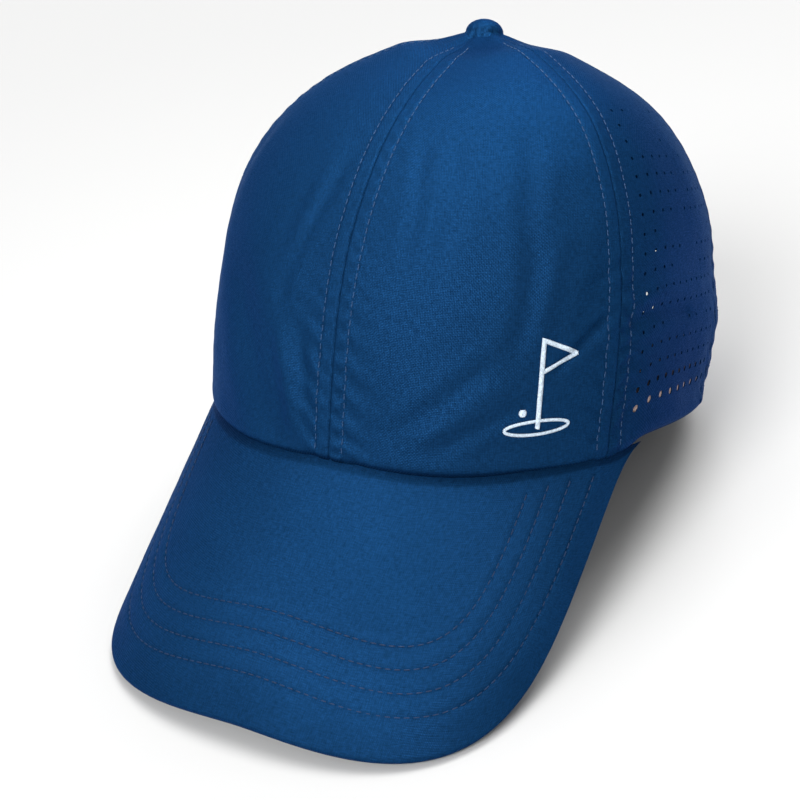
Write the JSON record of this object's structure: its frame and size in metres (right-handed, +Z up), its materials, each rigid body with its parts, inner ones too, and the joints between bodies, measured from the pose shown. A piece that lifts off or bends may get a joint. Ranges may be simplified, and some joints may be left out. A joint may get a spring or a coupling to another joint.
{
  "type": "curved-brim cap",
  "caption": "Panelled cap with a curved brim, covered button, perforated side and back cloth, and a strap with a flip buckle across a half-moon opening.",
  "frame": {"origin": "middle of the bounding box's base, on the surface that the cap stands on with its brim's front corners and the back of its rim", "axes": "-Y points to the front of the brim, +X to the wearer's left and +Z up; the crown's own axis leans back 23 degrees from +Z"},
  "size_m": [0.166, 0.262, 0.1574],
  "materials": {
    "crown_fabric": "matte woven polyester, navy",
    "perforated_fabric": "matte woven polyester, navy, laser perforated",
    "brim_fabric": "matte woven polyester, navy, row stitched",
    "binding_fabric": "woven cotton tape, dark navy",
    "sweatband_fabric": "brushed knit, dark navy",
    "interfacing": "open mesh stiffener, black",
    "foam": "soft open-cell foam, black",
    "board": "polyethylene sheet, black",
    "embroidery_thread": "satin stitched thread, near white",
    "label_fabric": "blank satin label, off white",
    "strap_fabric": "folded and stitched polyester strap, navy",
    "buckle_metal": "satin nickel plate",
    "stud_metal": "plain steel"
  },
  "bodies": {
    "crown": {"front_left_panel": "crown_fabric", "front_right_panel": "crown_fabric", "side_left_panel": "perforated_fabric", "side_right_panel": "perforated_fabric", "back_left_panel": "perforated_fabric", "back_right_panel": "perforated_fabric", "front_left_interfacing": "interfacing", "front_right_interfacing": "interfacing", "front_seam_tape": "binding_fabric", "left_side_seam_tape": "binding_fabric", "right_side_seam_tape": "binding_fabric", "left_rear_seam_tape": "binding_fabric", "right_rear_seam_tape": "binding_fabric", "back_seam_tape": "binding_fabric", "back_arch_binding": "crown_fabric", "sweatband": "sweatband_fabric", "care_label": "label_fabric", "forehead_foam": "foam", "brim_top_cover": "brim_fabric", "brim_board": "board", "brim_under_cover": "brim_fabric", "top_button": "crown_fabric", "button_stud": "stud_metal", "embroidered_motif": "embroidery_thread", "buckle_frame": "buckle_metal", "buckle_lever_pin": "buckle_metal", "buckle_tab_bar": "buckle_metal", "buckle_tab": "strap_fabric"},
    "strap": {"strap": "strap_fabric"},
    "buckle_lever": {"buckle_lever": "buckle_metal"}
  },
  "joints": [
    {"name": "strap_adjust", "type": "hinge", "parent": "crown", "child": "strap", "pos_m": [0, 0.04977, 0.02473], "axis": [0, 0.3907, 0.9205], "range_deg": [-9, 12]},
    {"name": "buckle_flip", "type": "hinge", "parent": "crown", "child": "buckle_lever", "pos_m": [-0.0233, 0.12019, 0.01168], "axis": [0, 0.3907, 0.9205], "range_deg": [0, 100]}
  ]
}
